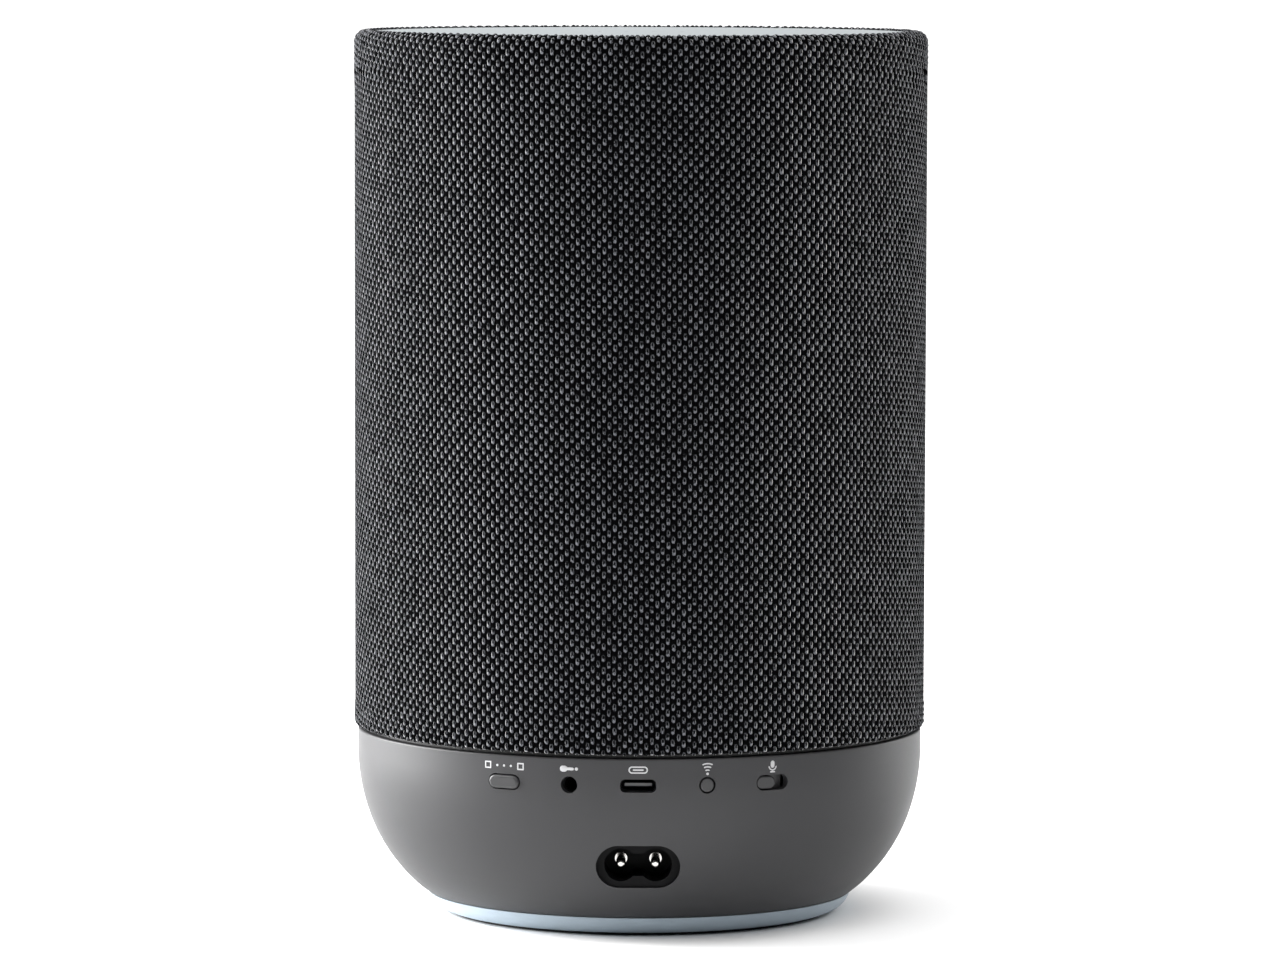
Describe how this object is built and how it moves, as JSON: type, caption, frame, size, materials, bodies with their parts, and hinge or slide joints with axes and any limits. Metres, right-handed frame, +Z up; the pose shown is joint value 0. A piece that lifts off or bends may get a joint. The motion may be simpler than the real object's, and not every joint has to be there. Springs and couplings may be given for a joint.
{
  "type": "smart speaker",
  "caption": "Upright cylindrical smart speaker: fabric sleeve on a bowl-shaped plastic base with ports, push buttons, a microphone mute slide and a mains inlet.",
  "frame": {"origin": "centre of the rubber foot on the table, on the axis of the cylinder", "axes": "+Z up along the cylinder, -Y towards the person facing the ports, +X to that person's right"},
  "size_m": [0.146, 0.146, 0.225],
  "materials": {
    "melange_fabric": "woven charcoal melange",
    "black_plastic": "moulded, unpainted",
    "pale_plastic": "fine satin",
    "pale_blue_plastic": "fine satin",
    "dark_plastic": "fine spark-eroded texture",
    "button_plastic": "fine spark-eroded texture",
    "inlet_plastic": "moulded",
    "circuit_board": "solder resist",
    "clear_light_guide": "polished",
    "steel": "zinc plated",
    "plated_pins": "bright nickel plate",
    "aluminium": "satin",
    "copper": "enamelled winding wire",
    "black_metal": "powder coat",
    "ferrite": "sintered",
    "cone_paper": "pressed pulp",
    "spider_cloth": "resin-dipped cloth",
    "soft_rubber": "matt",
    "foot_rubber": "matt",
    "transformer_wrap": "polyester tape",
    "flex_cable": "polyimide film"
  },
  "bodies": {
    "housing": {"fabric_sleeve": "melange_fabric", "grille_cage": "black_plastic", "top_panel": "pale_plastic", "top_frame": "black_plastic", "touch_board": "circuit_board", "microphones": "steel", "status_lights": "clear_light_guide", "top_screws": "steel", "upper_diffuser": "black_plastic", "upper_posts": "black_plastic", "cabinet_body": "black_plastic", "cabinet_gasket": "soft_rubber", "cabinet_lid": "black_plastic", "cabinet_screws": "steel", "cabinet_posts": "black_plastic", "lower_diffuser": "black_plastic", "woofer_basket": "black_metal", "woofer_surround": "soft_rubber", "woofer_spider": "spider_cloth", "woofer_top_plate": "steel", "woofer_magnet": "ferrite", "woofer_pole_piece": "steel", "woofer_screws": "steel", "tweeter_faceplate": "black_plastic", "tweeter_surround": "soft_rubber", "tweeter_motor": "black_metal", "base_shell": "dark_plastic", "foot_ring": "pale_blue_plastic", "bottom_cover": "dark_plastic", "rubber_foot": "foot_rubber", "bottom_screws": "steel", "base_deck": "black_plastic", "deck_screws": "steel", "main_board": "circuit_board", "board_screws": "steel", "processor_shield": "steel", "amplifier_heatsink": "aluminium", "antennas": "circuit_board", "power_board": "circuit_board", "power_screws": "steel", "power_transformer": "transformer_wrap", "power_capacitors": "aluminium", "inlet_housing": "inlet_plastic", "inlet_pins": "plated_pins", "inlet_wires": "inlet_plastic", "aux_jack": "inlet_plastic", "usb_shell": "steel", "usb_tongue": "inlet_plastic", "button_switches": "black_plastic", "mute_switch": "black_plastic", "touch_cable": "flex_cable", "speaker_wires": "inlet_plastic"},
    "connect_key": {"connect_button": "button_plastic"},
    "pairing_key": {"pairing_button": "button_plastic"},
    "mute_knob": {"mute_slider": "button_plastic"},
    "woofer_moving_parts": {"woofer_cone": "cone_paper", "woofer_dust_cap": "cone_paper", "voice_coil": "copper"},
    "tweeter_moving_parts": {"tweeter_dome": "spider_cloth"}
  },
  "joints": [
    {"name": "connect_press", "type": "slide", "parent": "housing", "child": "connect_key", "axis": [0.4602, 0.8878, 0], "range_m": [0, 0.0006], "stiffness_N_per_m": 1500},
    {"name": "pairing_press", "type": "slide", "parent": "housing", "child": "pairing_key", "axis": [-0.2368, 0.9715, 0], "range_m": [0, 0.0005], "stiffness_N_per_m": 1500},
    {"name": "mute_slide", "type": "slide", "parent": "housing", "child": "mute_knob", "axis": [0.8878, 0.4602, 0], "range_m": [0, 0.003]},
    {"name": "woofer_stroke", "type": "slide", "parent": "housing", "child": "woofer_moving_parts", "axis": [0, 0, -1], "range_m": [-0.003, 0.003], "stiffness_N_per_m": 1800, "deforming": ["woofer_surround", "woofer_spider"]},
    {"name": "tweeter_stroke", "type": "slide", "parent": "housing", "child": "tweeter_moving_parts", "axis": [0, 0, 1], "range_m": [-0.0005, 0.0005], "stiffness_N_per_m": 1500, "deforming": ["tweeter_surround"]}
  ]
}
